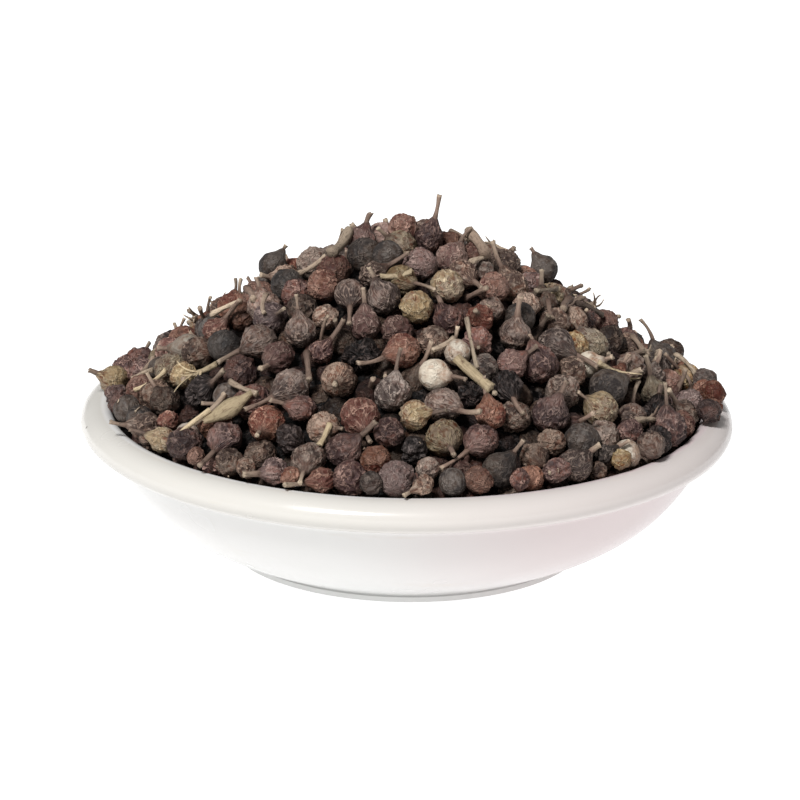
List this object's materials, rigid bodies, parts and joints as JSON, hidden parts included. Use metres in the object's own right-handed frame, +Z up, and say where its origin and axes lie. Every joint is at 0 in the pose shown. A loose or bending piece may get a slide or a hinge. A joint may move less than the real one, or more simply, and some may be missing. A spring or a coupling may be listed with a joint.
{
  "type": "bowl of cubeb pepper",
  "caption": "Shallow white bowl with a rolled rim band and a low foot, heaped high with dried brown tailed pepper berries, loose stalks and stems.",
  "frame": {"origin": "middle of the bowl's underside, on the surface that it stands on", "axes": "+Z up, -Y towards the side that the picture shows, +X to the picture's right"},
  "size_m": [0.1, 0.1, 0.055],
  "materials": {
    "glaze": "semi-gloss white glaze",
    "berry_skin": "dry, dull and wrinkled"
  },
  "bodies": {
    "root": {"bowl": "glaze", "cubeb_heap": "berry_skin"}
  },
  "joints": []
}
